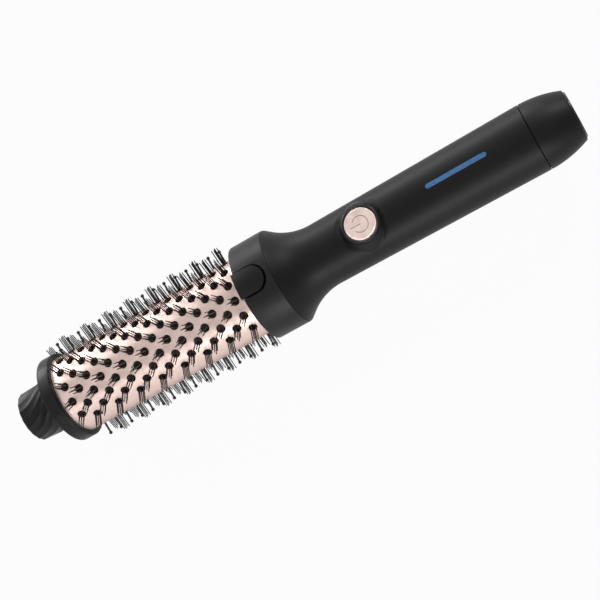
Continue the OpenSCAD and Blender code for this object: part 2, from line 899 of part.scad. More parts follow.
module board_tray() {
    color("#4a4d52") difference() {
        union() {
            difference() {
                bar(x_tray, x_tray_end, tray_r);
                bar(x_tray - over, x_tray_end + over, tray_r - tray_wall);
                translate([x_tray - over, -2 * tray_r, board_under])
                    cube([x_tray_end - x_tray + 2 * over, 4 * tray_r, 2 * tray_r]);
            }
            intersection() {
                for (x = board_screw_x) translate([x, 0, -tray_r])
                    cylinder(h = tray_r + board_under, r = post_r);
                bar(x_tray, x_tray_end, tray_r - tray_wall / 2);
            }
            for (side = [-1, 1])
                translate([x_board, side * (board_w / 2 - rail_in) - rail_w / 2, board_under - rail_h])
                    cube([board_l, rail_w, rail_h]);
        }
        for (x = board_screw_x) translate([x, 0, board_under - pilot_l])
            cylinder(h = pilot_l + over, r = board_screw_r);
    }
}

module main_board() {
    color("#1f5a3a") difference() {
        translate([x_board, -board_w / 2, board_under]) cube([board_l, board_w, board_t]);
        for (x = board_screw_x) translate([x, 0, board_under - over])
            cylinder(h = board_t + 2 * over, r = board_screw_r + screw_gap);
    }
}

module board_screws() {
    color("#9a9da0") for (x = board_screw_x) translate([x, 0, board_top]) {
        cylinder(h = board_screw_head_l, r = board_screw_head_r);
        translate([0, 0, -board_t - board_screw_l])
            cylinder(h = board_screw_l + board_t + eps, r = board_screw_r);
    }
}

// Parts under the board, placed from its rear end
varistor_x = 14;
varistor_r = 4.5;
varistor_t = 4;
triac_x = 22;
triac_size = [9, 10, 4.4];
triac_tab = [6, 10, 1.3];
leg_l = 4;
leg_w = 0.8;
leg_t = 0.6;
leg_h = 2;
leg_pitch = 2.4;
capacitor_x = 46;
capacitor_size = [16, 9, 10];

module triac() {
    color("#26262a")
        translate([x_board + triac_x, -triac_size[1] / 2, board_under - triac_size[2]]) union() {
            cube(triac_size);
            translate([triac_size[0] - eps, 0, 0]) cube(triac_tab);
            for (i = [-1 : 1])
                translate([-leg_l, triac_size[1] / 2 + i * leg_pitch - leg_w / 2, leg_h]) {
                    cube([leg_l + eps, leg_w, leg_t]);
                    cube([leg_w, leg_w, triac_size[2] - leg_h]);
                }
        }
}

module capacitor() {
    color("#b98a2d")
        translate([x_board + capacitor_x, -capacitor_size[1] / 2, board_under - capacitor_size[2]])
            cube(capacitor_size);
}

module varistor() {
    color("#2b5fa8") translate([0, 0, board_under - varistor_r])
        bar(x_board + varistor_x, x_board + varistor_x + varistor_t, varistor_r);
}

// The chip lies between the light bar and the button
chip_size = [5, 6, 1.5];
chip_x = (x_seam + light_x + light_l / 2 + button_x - switch_w / 2) / 2;

module controller_chip() {
    color("#1a1a1c") translate([chip_x - chip_size[0] / 2, -chip_size[1] / 2, board_top])
        cube(chip_size);
}

// ---- Socket for the head ----

x_block = x_tray_end + seat_gap;
contact_tail = 1.5;
contact_wall = 0.5;
contact_floor = 0.3;
contact_end = x_boss - 2 * air_gap;

module socket_block() {
    color("#2b2a29") difference() {
        bar(x_block, x_crease - fit_gap, block_r);
        at_contacts() bar(x_block - over, x_crease + over, pin_r + fit_gap + contact_wall + fit_gap);
    }
}

module socket_contacts() {
    color("#c9a24a") at_contacts() difference() {
        bar(x_block - contact_tail, contact_end, pin_r + fit_gap + contact_wall);
        bar(x_block + contact_floor, contact_end + over, pin_r + fit_gap);
    }
}

wire_spread = 2.5;

module head_wires() {
    x0 = x_board + board_l + lead_d / 2;
    x1 = x_block - contact_tail - 2 * lead_gap;
    z = board_top - board_t / 2;
    color("#a8322a") for (side = [-1, 1]) {
        lead([[x0, side * pin_y, z], [x1, side * pin_y, pin_z]]);
        lead([[x0, side * (pin_y + wire_spread), z], [x1, side * pin_y, -pin_z]]);
    }
}

barrel();
tuft_strips_upper();
tuft_strips_lower();
pin_strip_left();
pin_strip_right();
bristle_core_upper();
bristle_core_lower();
heat_spreader_left();
heat_spreader_right();
ptc_stones();
electrode_plates();
insulating_films();
thermistor();
thermal_fuse();
heater_leads();
head_base();
contact_pins();
tip_flange();
tip_axle();
tip_washer();
cool_tip();
tip_cap();
collar();
collar_screws();
release_tab();
tab_pin();
tab_spring();
handle_shell();
end_cap();
cord_gland();
gland_clip();
slip_rings();
contact_brushes();
button_bezel();
power_button();
switch_plunger();
tact_switch();
light_window();
indicator_leds();
main_board();
board_screws();
board_tray();
triac();
capacitor();
controller_chip();
varistor();
socket_block();
socket_contacts();
head_wires();
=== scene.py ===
import math

import bmesh
import bpy
from mathutils import Matrix, Vector


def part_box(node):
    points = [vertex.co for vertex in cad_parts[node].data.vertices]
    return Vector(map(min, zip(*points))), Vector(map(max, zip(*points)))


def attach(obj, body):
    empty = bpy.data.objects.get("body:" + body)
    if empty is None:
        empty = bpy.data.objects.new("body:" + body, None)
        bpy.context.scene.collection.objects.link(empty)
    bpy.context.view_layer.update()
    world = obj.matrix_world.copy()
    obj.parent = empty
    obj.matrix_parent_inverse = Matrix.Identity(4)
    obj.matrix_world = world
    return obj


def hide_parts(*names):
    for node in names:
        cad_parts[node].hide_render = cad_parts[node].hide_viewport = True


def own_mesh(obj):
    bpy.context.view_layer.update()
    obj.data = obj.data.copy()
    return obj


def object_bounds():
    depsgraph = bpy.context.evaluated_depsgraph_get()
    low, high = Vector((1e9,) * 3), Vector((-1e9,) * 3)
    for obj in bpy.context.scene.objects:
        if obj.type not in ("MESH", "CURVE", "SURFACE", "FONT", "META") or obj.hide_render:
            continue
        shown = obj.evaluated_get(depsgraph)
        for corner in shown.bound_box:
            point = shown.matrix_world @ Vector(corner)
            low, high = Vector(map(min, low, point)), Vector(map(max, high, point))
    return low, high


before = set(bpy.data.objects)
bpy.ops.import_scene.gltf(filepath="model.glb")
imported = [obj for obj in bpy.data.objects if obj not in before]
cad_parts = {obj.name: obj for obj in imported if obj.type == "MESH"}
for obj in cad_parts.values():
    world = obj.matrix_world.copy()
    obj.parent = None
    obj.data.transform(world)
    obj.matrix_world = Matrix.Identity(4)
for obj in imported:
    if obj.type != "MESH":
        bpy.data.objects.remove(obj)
cad_low, cad_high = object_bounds()
MM = 0.001


# ---- Camera ----
# A 77 mm lens over the brush, 15 degrees off the button's direction, with the
# tip at the lower left of the picture and the handle's end at the upper right.
camera_data = bpy.data.cameras.new("camera")
camera_data.lens = 76.712
camera_data.sensor_width = 36
camera = bpy.data.objects.new("camera", camera_data)
bpy.context.scene.collection.objects.link(camera)
camera.location = (9.141 * MM, 151.076 * MM, 544.718 * MM)
camera.rotation_euler = [math.radians(a) for a in (6.35056, 18.57639, 153.87238)]
bpy.context.scene.camera = camera
bpy.context.scene.view_settings.view_transform = "Standard"


# ---- Floor, sky and lamps ----
# A plain white table that turns up into a low wall, a soft sky that is brightest
# overhead, and soft boxes on either side, which draw the bands of light.
def srgb(code):
    """The linear colour for an sRGB hex code."""
    parts = [int(code[i:i + 2], 16) / 255 for i in (1, 3, 5)]
    return [p / 12.92 if p <= 0.04045 else ((p + 0.055) / 1.055) ** 2.4 for p in parts] + [1]


def add_node(tree, kind, inputs=None, **settings):
    """Adds a node; each input is given as a value or as the socket that feeds it."""
    node = tree.nodes.new(kind)
    for name, value in settings.items():
        setattr(node, name, value)
    for name, value in (inputs or {}).items():
        if isinstance(value, bpy.types.NodeSocket):
            tree.links.new(value, node.inputs[name])
        else:
            node.inputs[name].default_value = value
    return node


floor_z = cad_low.z - 0.05 * MM
floor_mid, floor_r, wall_h, sweep_r = 0.14, 3, 0.75, 0.3
bpy.ops.object.select_all(action="DESELECT")
bpy.ops.mesh.primitive_cylinder_add(vertices=128, radius=floor_r, depth=wall_h,
                                    end_fill_type="NGON",
                                    location=(floor_mid, 0, floor_z + wall_h / 2))
floor = bpy.context.object
floor.name = "floor"
bpy.ops.object.transform_apply(location=True, rotation=True, scale=True)
bpy.ops.object.mode_set(mode="EDIT")
mesh = bmesh.from_edit_mesh(floor.data)
top = [f for f in mesh.faces if f.normal.z > 0.9]
bpy.ops.mesh.select_all(action="DESELECT")
top[0].select_set(True)
bmesh.update_edit_mesh(floor.data)
bpy.ops.mesh.delete(type="ONLY_FACE")
mesh = bmesh.from_edit_mesh(floor.data)
bpy.ops.mesh.select_all(action="DESELECT")
for edge in mesh.edges:
    if all(abs(v.co.z - floor_z) < MM for v in edge.verts):
        edge.select_set(True)
bmesh.update_edit_mesh(floor.data)
bpy.ops.mesh.bevel(offset=sweep_r, segments=8)
bpy.ops.object.mode_set(mode="OBJECT")
bpy.ops.object.shade_smooth_by_angle(angle=math.radians(30))

# White paper: the camera and every gloss see it as full white. A small share of
# its own grey shading stays, which is enough to show the brush's shadow.
glow_share = 0.96
paper = bpy.data.materials.new("white_paper")
paper.use_nodes = True
tree = paper.node_tree
tree.nodes.clear()
path = add_node(tree, "ShaderNodeLightPath")
gloss = add_node(tree, "ShaderNodeMath", {0: path.outputs["Is Glossy Ray"],
                                          1: path.outputs["Is Transmission Ray"]},
                 operation="MAXIMUM")
seen = add_node(tree, "ShaderNodeMath", {0: path.outputs["Is Camera Ray"],
                                         1: gloss.outputs[0]}, operation="MAXIMUM")
share = add_node(tree, "ShaderNodeMath", {0: seen.outputs[0], 1: glow_share},
                 operation="MULTIPLY")
matt = add_node(tree, "ShaderNodeBsdfDiffuse", {"Color": srgb("#909090")})
glow = add_node(tree, "ShaderNodeEmission", {"Color": srgb("#ffffff"), "Strength": 1.0})
blend = add_node(tree, "ShaderNodeMixShader", {0: share.outputs[0], 1: matt.outputs[0],
                                               2: glow.outputs[0]})
add_node(tree, "ShaderNodeOutputMaterial", {"Surface": blend.outputs[0]})
floor.data.materials.append(paper)

# The sky: a dim white at the horizon that brightens towards straight overhead
sky_low, sky_high = 0.1, 0.62
world = bpy.data.worlds.new("sky")
bpy.context.scene.world = world
world.use_nodes = True
tree = world.node_tree
tree.nodes.clear()
direction = add_node(tree, "ShaderNodeTexCoord")
height = add_node(tree, "ShaderNodeSeparateXYZ", {0: direction.outputs["Generated"]})
overhead = add_node(tree, "ShaderNodeMath", {0: height.outputs[2], 1: 2.0}, operation="POWER")
strength = add_node(tree, "ShaderNodeMapRange", {"Value": overhead.outputs[0],
                                                 "To Min": sky_low, "To Max": sky_high})
sky = add_node(tree, "ShaderNodeBackground", {"Color": srgb("#ffffff"),
                                              "Strength": strength.outputs[0]})
add_node(tree, "ShaderNodeOutputWorld", {"Surface": sky.outputs[0]})


def soft_box(name, angle, x, length, width, power):
    """A lamp along the brush, at an angle from +Z towards +Y, in metres and watts."""
    distance = 0.7
    lamp = bpy.data.lights.new(name, "AREA")
    lamp.shape = "RECTANGLE"
    lamp.size, lamp.size_y = length, width
    lamp.energy = power
    holder = bpy.data.objects.new(name, lamp)
    bpy.context.scene.collection.objects.link(holder)
    turn = math.radians(angle)
    holder.location = (x, distance * math.sin(turn), distance * math.cos(turn))
    holder.rotation_euler = (-turn, 0, 0)
    holder.visible_camera = False


# Each lamp: its angle, its place along the brush, its length, its width and its power
soft_box("handle_box_right", 70, 0.13, 0.42, 0.2, 3.1)
soft_box("handle_box_left", -77, 0.13, 0.42, 0.22, 2.9)
soft_box("barrel_box_right", 56, 0.6, 0.36, 0.2, 0.6)
soft_box("flare_box_left", -48, -0.42, 0.2, 0.2, 4)
soft_box("barrel_box_left", -45, 0.6, 0.36, 0.3, 1.2)
soft_box("tip_box_left", -80, 0.64, 0.24, 0.25, 3.6)
soft_box("barrel_box_over", 12, 0.6, 0.36, 0.4, 0.35)


# ---- Heater ----
# Ceramic stones between brass plates and orange film, clamped by two extruded
# aluminium blocks. It is hidden in the tube, and so keeps the CAD shapes.
def new_material(name, color, roughness, **more):
    """A new material on the principled shader, with its constants set on it."""
    material = bpy.data.materials.new(name)
    material.use_nodes = True
    shader = material.node_tree.nodes["Principled BSDF"]
    shader.inputs["Base Color"].default_value = srgb(color)
    shader.inputs["Roughness"].default_value = roughness
    for key, value in more.items():
        shader.inputs[key.replace("_", " ")].default_value = value
    return material


def surface_grain(material, size, depth, rough_low, rough_high, stretch=(1, 1, 1)):
    """Fine relief with grains of a size in metres, and roughness that varies with it.

    The real grain of most of these finishes is near 0.05 mm, which would not show,
    so it is drawn several times coarser.
    """
    tree = material.node_tree
    shader = tree.nodes["Principled BSDF"]
    place = add_node(tree, "ShaderNodeTexCoord")
    spread = add_node(tree, "ShaderNodeMapping", {"Vector": place.outputs["Object"],
                                                  "Scale": stretch})
    grain = add_node(tree, "ShaderNodeTexNoise", {"Vector": spread.outputs[0],
                                                  "Scale": 1 / size, "Detail": 3.0})
    relief = add_node(tree, "ShaderNodeBump", {"Height": grain.outputs[0], "Strength": 0.5,
                                               "Distance": depth})
    rough = add_node(tree, "ShaderNodeMapRange", {"Value": grain.outputs[0],
                                                  "From Min": 0.3, "From Max": 0.7,
                                                  "To Min": rough_low, "To Max": rough_high})
    tree.links.new(relief.outputs[0], shader.inputs["Normal"])
    tree.links.new(rough.outputs[0], shader.inputs["Roughness"])


def two_tones(material, low, high, size, stretch=(1, 1, 1)):
    """Base colour that drifts between two close tones over a size in metres."""
    tree = material.node_tree
    place = add_node(tree, "ShaderNodeTexCoord")
    spread = add_node(tree, "ShaderNodeMapping", {"Vector": place.outputs["Object"],
                                                  "Scale": stretch})
    drift = add_node(tree, "ShaderNodeTexNoise", {"Vector": spread.outputs[0],
                                                  "Scale": 1 / size, "Detail": 2.0})
    tone = add_node(tree, "ShaderNodeValToRGB", {0: drift.outputs[0]})
    tone.color_ramp.elements[0].position = 0.35
    tone.color_ramp.elements[0].color = srgb(low)
    tone.color_ramp.elements[1].position = 0.65
    tone.color_ramp.elements[1].color = srgb(high)
    tree.links.new(tone.outputs[0], tree.nodes["Principled BSDF"].inputs["Base Color"])


def dress(material, *nodes):
    """Gives a material to CAD nodes that keep their own shape."""
    for node in nodes:
        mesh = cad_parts[node].data
        mesh.materials.clear()
        mesh.materials.append(material)


# Sintered ceramic: a dull, grainy grey-brown without any shine.
heater_ceramic = new_material("sintered_heater_ceramic", "#5c5450", 0.75)
surface_grain(heater_ceramic, 0.4 * MM, 0.03 * MM, 0.7, 0.9)
two_tones(heater_ceramic, "#544c48", "#655c57", 3 * MM)
dress(heater_ceramic, "ptc_stones")

# Stamped brass: warm yellow and fairly bright, with fine lines along the sheet.
stamped_brass = new_material("stamped_brass", "#d9b25c", 0.3, Metallic=1.0)
surface_grain(stamped_brass, 0.3 * MM, 0.01 * MM, 0.24, 0.4, stretch=(0.1, 1, 1))
two_tones(stamped_brass, "#cfa651", "#e0bc6c", 4 * MM)
dress(stamped_brass, "electrode_plates")

# Polyimide film: an even orange with a smooth, sharp shine.
orange_film = new_material("polyimide_film", "#c0782a", 0.2)
surface_grain(orange_film, 2 * MM, 0.02 * MM, 0.15, 0.3)
two_tones(orange_film, "#b76e24", "#c98436", 6 * MM)
dress(orange_film, "insulating_films")

# Extruded aluminium: a pale grey metal with long die lines along it.
extruded_aluminium = new_material("extruded_aluminium", "#c3c6ca", 0.38, Metallic=1.0)
surface_grain(extruded_aluminium, 0.5 * MM, 0.01 * MM, 0.3, 0.5, stretch=(0.03, 1, 1))
two_tones(extruded_aluminium, "#bbbec3", "#cdd0d3", 8 * MM, stretch=(0.1, 1, 1))
dress(extruded_aluminium, "heat_spreader_left", "heat_spreader_right")

# Glass bead: dark red, as glossy as a drop.
bead_glass = new_material("sensor_bead_glass", "#8c3a2c", 0.12)
surface_grain(bead_glass, 1 * MM, 0.01 * MM, 0.08, 0.18)
two_tones(bead_glass, "#823225", "#984535", 2 * MM)
dress(bead_glass, "thermistor")

# Glazed ceramic: a warm white with a wet shine.
fuse_glaze = new_material("glazed_fuse_ceramic", "#e2ded4", 0.15)
surface_grain(fuse_glaze, 1 * MM, 0.01 * MM, 0.1, 0.2)
two_tones(fuse_glaze, "#dad5c9", "#e9e6dd", 3 * MM)
dress(fuse_glaze, "thermal_fuse")

# Braided glass sleeve: off-white and dull, with a fine woven grain.
glass_sleeve = new_material("braided_glass_sleeve", "#dededa", 0.8)
surface_grain(glass_sleeve, 0.25 * MM, 0.05 * MM, 0.7, 0.9)
two_tones(glass_sleeve, "#d2d2cc", "#e8e8e4", 0.5 * MM)
dress(glass_sleeve, "heater_leads")


# ---- Bristle beds, head base and socket ----
# The two beds that carry the bristles, with a flat for each strip, and the plug and
# socket that join the head to the handle. They are moulded in dark, heat-proof
# resin, and stamped brass contacts are pressed into the plug and the socket.

# Moulded resin: a dull brown, near black, that keeps the holes dark behind the tufts.
heat_resin = new_material("moulded_heat_resin", "#21160f", 0.6)
surface_grain(heat_resin, 0.5 * MM, 0.02 * MM, 0.55, 0.7)
two_tones(heat_resin, "#1d130e", "#281b12", 6 * MM)
dress(heat_resin, "bristle_core_upper", "bristle_core_lower", "head_base", "socket_block")
dress(stamped_brass, "contact_pins", "socket_contacts")


# ---- Barrel ----
# A drawn aluminium tube with a rose-gold ceramic coat, sprayed and baked, with
# punched holes. It is held between the collar and the tip flange.

# Ceramic coat: pale pink satin with the depth of a metal, and browner at its sides,
# which the dark tint of the shine gives.
rose_coat = new_material("rose_gold_ceramic_coat", "#ead0c8", 0.36, Metallic=0.6,
                         Specular_Tint=srgb("#1a0c08"))
surface_grain(rose_coat, 0.35 * MM, 0.004 * MM, 0.33, 0.4)
two_tones(rose_coat, "#e7cbc1", "#edd6ce", 1.2 * MM)
dress(rose_coat, "barrel")


# ---- Bristles ----
# Fine nylon strands in tufts of five, and ball-ended pins, moulded with the strip
# that they stand on. Every strip is pushed in along the bed from one end.
def span(node, axis, digits=2):
    """Where a CAD node starts and ends along an axis, in mm."""
    return [round(getattr(corner, axis) / MM, digits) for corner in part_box(node)]


def select_only(piece):
    """Selects one piece and makes it the active one."""
    bpy.ops.object.select_all(action="DESELECT")
    piece.select_set(True)
    bpy.context.view_layer.objects.active = piece


def finish_piece(piece, body, slot, material, *nodes, angle=35):
    """Smooths a piece, places it, gives it its finish and ties it to its body."""
    select_only(piece)
    bpy.ops.object.transform_apply(location=True, rotation=True, scale=True)
    bpy.ops.object.shade_smooth_by_angle(angle=math.radians(angle))
    piece.data.materials.clear()
    piece.data.materials.append(material)
    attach(piece, body)
    if nodes:
        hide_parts(*nodes)


def joined(name, pieces):
    """One object from several, under a new name."""
    bpy.ops.object.select_all(action="DESELECT")
    for piece in pieces:
        piece.select_set(True)
    bpy.context.view_layer.objects.active = pieces[0]
    bpy.ops.object.join()
    pieces[0].name = name
    return pieces[0]


def copies(name, pattern, places):
    """One object with a copy of the pattern's mesh at each place."""
    pieces = []
    for place in places:
        twin = pattern.copy()
        twin.data = pattern.data.copy()
        twin.data.transform(place)
        bpy.context.scene.collection.objects.link(twin)
        pieces.append(twin)
    return joined(name, pieces)


barrel_r = span("barrel", "z")[1] * MM
barrel_end = span("barrel", "x")[1]
collar_from, collar_to = span("collar", "x")
barrel_mid = (collar_to + barrel_end) / 2 * MM

row_step = 11.64
row_reach = 5
tufts_in_row = 8
tuft_spacing = 12.22 * MM
row_shift = 0.25
tuft_top = barrel_r + 8.4 * MM
pin_top = barrel_r + 6.4 * MM

strip_from, strip_to = [x * MM for x in span("tuft_strips_upper", "x")]
strip_top = 17.4 * MM
strip_t = 2.1 * MM
strip_w = 2.8 * MM

# Drawn nylon: near black, with a small dull shine along each strand.
bristle_nylon = new_material("black_bristle_nylon", "#151516", 0.4)
surface_grain(bristle_nylon, 0.2 * MM, 0.01 * MM, 0.36, 0.5)
two_tones(bristle_nylon, "#111112", "#1a1a1c", 2 * MM)


def strand(radius, height, x, y, taper_to):
    """A tapered strand with a rounded tip, five-sided."""
    bpy.ops.object.select_all(action="DESELECT")
    bpy.ops.mesh.primitive_cylinder_add(vertices=5, radius=radius, depth=height,
                                        end_fill_type="NGON",
                                        location=(x, y, strip_top + height / 2))
    piece = bpy.context.object
    bpy.ops.object.transform_apply(location=True, rotation=True, scale=True)
    bpy.ops.object.mode_set(mode="EDIT")
    mesh = bmesh.from_edit_mesh(piece.data)
    top = [f for f in mesh.faces if f.normal.z > 0.9]
    bpy.ops.mesh.select_all(action="DESELECT")
    for face in top:
        face.select_set(True)
    bmesh.update_edit_mesh(piece.data)
    bpy.ops.transform.resize(value=(taper_to, taper_to, 1), center_override=(x, y, 0))
    bpy.ops.mesh.inset(thickness=radius * 0.35, depth=radius * 0.5)
    bpy.ops.object.mode_set(mode="OBJECT")
    return piece


def backing(name, turns):
    """The flat slices, with softened edges, that a group of bristles stands on."""
    bpy.ops.object.select_all(action="DESELECT")
    bpy.ops.mesh.primitive_cube_add(size=1, location=((strip_from + strip_to) / 2, 0,
                                                      strip_top - strip_t / 2))
    one = bpy.context.object
    one.scale = (strip_to - strip_from, strip_w, strip_t)
    bpy.ops.object.transform_apply(location=True, rotation=True, scale=True)
    bpy.ops.object.mode_set(mode="EDIT")
    bpy.ops.mesh.select_all(action="SELECT")
    bpy.ops.mesh.bevel(offset=0.15 * MM, segments=2)
    bpy.ops.object.mode_set(mode="OBJECT")
    strips = copies(name, one, turns)
    bpy.data.objects.remove(one)
    finish_piece(strips, "brush", "heat_resin", heat_resin)


def turned_to(angle):
    """The turn about the brush's axis, from +Z towards +Y."""
    return Matrix.Rotation(math.radians(-angle), 4, "X")


# A tuft: one strand in the middle and four round it, a little uneven in height
strand_r, strand_reach, strand_drop = 0.3 * MM, 1.45 * MM, 0.12 * MM
strands = []
for i, (along, across) in enumerate([(0, 0), (1, 0), (0, 1), (-1, 0), (0, -1)]):
    strands.append(strand(strand_r, tuft_top - strip_top - i % 3 * strand_drop,
                          along * strand_reach, across * strand_reach, 0.8))
tuft = joined("tuft", strands)

for half, side in enumerate(("upper", "lower")):
    places, turns = [], []
    for row in range(-row_reach, row_reach + 1):
        turn = turned_to(row * row_step + 180 * half)
        turns.append(turn)
        shift = row_shift if row % 2 == 0 else -row_shift
        for i in range(tufts_in_row):
            x = barrel_mid + (i - (tufts_in_row - 1) / 2 + shift) * tuft_spacing
            places.append(turn @ Matrix.Translation((x, 0, 0)))
    rows = copies("tufts_" + side, tuft, places)
    finish_piece(rows, "brush", "bristle_nylon", bristle_nylon, "tuft_strips_" + side,
                 angle=50)
    backing("tufts_" + side + "_backing", turns)
bpy.data.objects.remove(tuft)

# A pin: a thicker shank with a ball on it, so that the ends don't scratch
ball_r = 0.85 * MM
pins_in_row = 2 * tufts_in_row
pin_spacing = tuft_spacing / 2
shank = strand(0.6 * MM, pin_top - strip_top - ball_r, 0, 0, 0.85)
bpy.ops.object.select_all(action="DESELECT")
bpy.ops.mesh.primitive_uv_sphere_add(segments=12, ring_count=8, radius=ball_r,
                                     location=(0, 0, pin_top - ball_r))
ball = bpy.context.object
bpy.ops.object.transform_apply(location=True, rotation=True, scale=True)
pin = joined("pin", [ball, shank])

for half, side in enumerate(("right", "left")):
    turn = turned_to(-(row_reach + 1) * row_step + 180 * half)
    places = []
    for i in range(pins_in_row):
        x = barrel_mid + (i - (pins_in_row - 1) / 2) * pin_spacing
        places.append(turn @ Matrix.Translation((x, 0, 0)))
    pins = copies("pins_" + side, pin, places)
    finish_piece(pins, "brush", "bristle_nylon", bristle_nylon, "pin_strip_" + side, angle=50)
    backing("pins_" + side + "_backing", [turn])
bpy.data.objects.remove(pin)


# ---- Tip flange and axle ----
# A disc, moulded in black nylon with softened edges and pushed into the barrel's
# end. It holds the turned steel axle on which the cool tip runs against a washer.
def lathe(name, rings, sides=160):
    """A closed ring of stations (x, radius), in mm, extruded one by one about +X."""
    bpy.ops.object.select_all(action="DESELECT")
    x, r = rings[0]
    bpy.ops.mesh.primitive_circle_add(vertices=sides, radius=r * MM, fill_type="NOTHING",
                                      location=(x * MM, 0, 0), rotation=(0, math.pi / 2, 0))
    piece = bpy.context.object
    piece.name = name
    bpy.ops.object.transform_apply(location=True, rotation=True, scale=True)
    bpy.ops.object.mode_set(mode="EDIT")
    bpy.ops.mesh.select_all(action="SELECT")
    for nx, nr in rings[1:] + rings[:1]:
        bpy.ops.mesh.extrude_region_move(
            TRANSFORM_OT_translate={"value": ((nx - x) * MM, 0, 0)})
        bpy.ops.transform.resize(value=(1, nr / r, nr / r), center_override=(nx * MM, 0, 0))
        x, r = nx, nr
    bpy.ops.mesh.select_all(action="SELECT")
    bpy.ops.mesh.remove_doubles(threshold=1e-6)
    bpy.ops.mesh.normals_make_consistent(inside=False)
    bpy.ops.object.mode_set(mode="OBJECT")
    return piece


def rounded(corners, radius, steps=4):
    """The corners of a loop (x, radius), each rounded to a radius in mm."""
    loop = []
    for i, at in enumerate(corners):
        back = Vector(corners[i - 1]) - Vector(at)
        ahead = Vector(corners[(i + 1) % len(corners)]) - Vector(at)
        cut = min(radius, back.length * 0.45, ahead.length * 0.45)
        start = Vector(at) + back.normalized() * cut
        end = Vector(at) + ahead.normalized() * cut
        for j in range(steps + 1):
            t = j / steps
            p = (1 - t) ** 2 * start + 2 * t * (1 - t) * Vector(at) + t ** 2 * end
            loop.append((p.x, p.y))
    return loop


# Moulded nylon: black with a dull, even shine, so that only its edges catch light.
satin_black = new_material("black_moulded_nylon", "#151516", 0.40, Specular_IOR_Level=0.18)
surface_grain(satin_black, 0.4 * MM, 0.006 * MM, 0.38, 0.46)
two_tones(satin_black, "#131314", "#181819", 10 * MM)

flange_from, flange_to = span("tip_flange", "x")
flange_r = span("tip_flange", "z")[1]
barrel_bore_r, axle_hole_r = 17.7, 1.6
flange = lathe("tip_flange_disc", rounded(
    [(flange_from, axle_hole_r), (flange_from, barrel_bore_r), (barrel_end, barrel_bore_r),
     (barrel_end, flange_r), (flange_to, flange_r), (flange_to, axle_hole_r)], 0.8))
finish_piece(flange, "brush", "black_gloss_plastic", satin_black, "tip_flange")

# Zinc plate on steel: a pale, slightly blue grey with a dull shine.
plated_steel = new_material("zinc_plated_steel", "#b9bbbd", 0.32, Metallic=1.0)
surface_grain(plated_steel, 0.3 * MM, 0.01 * MM, 0.25, 0.4)
two_tones(plated_steel, "#b0b3b6", "#c4c5c6", 2 * MM)
dress(plated_steel, "tip_axle")

# Turned acetal: milky white and a little waxy.
acetal = new_material("turned_white_acetal", "#e9e7e2", 0.3)
surface_grain(acetal, 0.5 * MM, 0.01 * MM, 0.25, 0.35)
two_tones(acetal, "#e4e1da", "#eeede9", 3 * MM)
dress(acetal, "tip_washer")


# ---- Cool tip ----
# The grip at the nose, which stays cool and turns on its axle: a moulding in black
# nylon with hollow flutes that sweep round it, and a flat cap pressed in its end.
knob_from, knob_to = span("cool_tip", "x")
knob_l = knob_to - knob_from
knob_root_r, knob_nose_r, knob_bore_r = 14, 12.4, 3.05
rings = [(knob_from, knob_bore_r), (knob_from, 11), (knob_from + 0.05, 13.3),
         (knob_from + 0.4, 13.9)]
for i in range(1, 33):
    along = i / 32 * 17.0 / knob_l
    rings.append((knob_from + along * knob_l,
                  knob_nose_r + (knob_root_r - knob_nose_r) * (1 - along) ** 2))
rings += [(knob_to - 0.82, 12.44), (knob_to - 0.55, 12.3), (knob_to - 0.3, 12.05),
          (knob_to - 0.1, 11.7), (knob_to, 11.2), (knob_to, 7.1), (knob_to - 0.1, 7.0),
          (knob_to - 1.6, 7.0), (knob_to - 1.6, knob_bore_r)]
grip = lathe("cool_tip_grip", rings, sides=288)

# The flutes fade out on the two end faces, and are deepest next to the flange
flutes, flute_depth, flute_sweep = 18, 0.35, 52
face_r, fade = 9, 3
for v in grip.data.vertices:
    r = math.hypot(v.co.y, v.co.z) / MM
    if r > face_r:
        along = (v.co.x / MM - knob_from) / knob_l
        angle = math.atan2(v.co.y, v.co.z)
        hollow = flute_depth * abs(math.sin(flutes / 2 * angle))
        r -= hollow * min(1, (r - face_r) / fade) * (1.5 - 0.8 * along)
        angle += math.radians(flute_sweep) * (1 - (1 - along) ** 2)
        v.co.y, v.co.z = r * math.sin(angle) * MM, r * math.cos(angle) * MM
finish_piece(grip, "tip_grip", "black_satin_plastic", satin_black, "cool_tip", angle=25)

axis_r = 0.01  # as near to the axis as a ring can come
cap_r = -span("tip_cap", "z")[0]
cap = lathe("cool_tip_cap", rounded([(knob_to - 1.55, axis_r), (knob_to - 1.55, cap_r),
                                     (knob_to, cap_r), (knob_to, axis_r)], 0.3))
finish_piece(cap, "tip_grip", "black_satin_plastic", satin_black, "tip_cap")


# ---- Collar ----
# The ring between the handle and the barrel, moulded in black nylon, with a window
# in it for the release tab. Three screws hold it to the handle from inside.
def shape_with(piece, tool, how):
    """Cuts, joins or crosses a piece with a tool, and takes the tool away."""
    select_only(piece)
    change = piece.modifiers.new("shape", "BOOLEAN")
    change.operation = how
    change.solver = "EXACT"
    change.object = tool
    bpy.ops.object.modifier_apply(modifier="shape")
    bpy.data.objects.remove(tool)


def round_bar(axis, start, end, radius, across=(0, 0), sides=64):
    """A bar along X, Y or Z, between two stations, at a place across it; all in mm."""
    bpy.ops.object.select_all(action="DESELECT")
    middle = (start + end) / 2
    place = {"X": (middle, *across), "Y": (across[0], middle, across[1]),
             "Z": (*across, middle)}[axis]
    turn = {"X": (0, math.pi / 2, 0), "Y": (math.pi / 2, 0, 0), "Z": (0, 0, 0)}[axis]
    bpy.ops.mesh.primitive_cylinder_add(vertices=sides, radius=radius * MM,
                                        depth=(end - start) * MM, rotation=turn,
                                        location=[p * MM for p in place])
    piece = bpy.context.object
    bpy.ops.object.transform_apply(location=True, rotation=True, scale=True)
    return piece


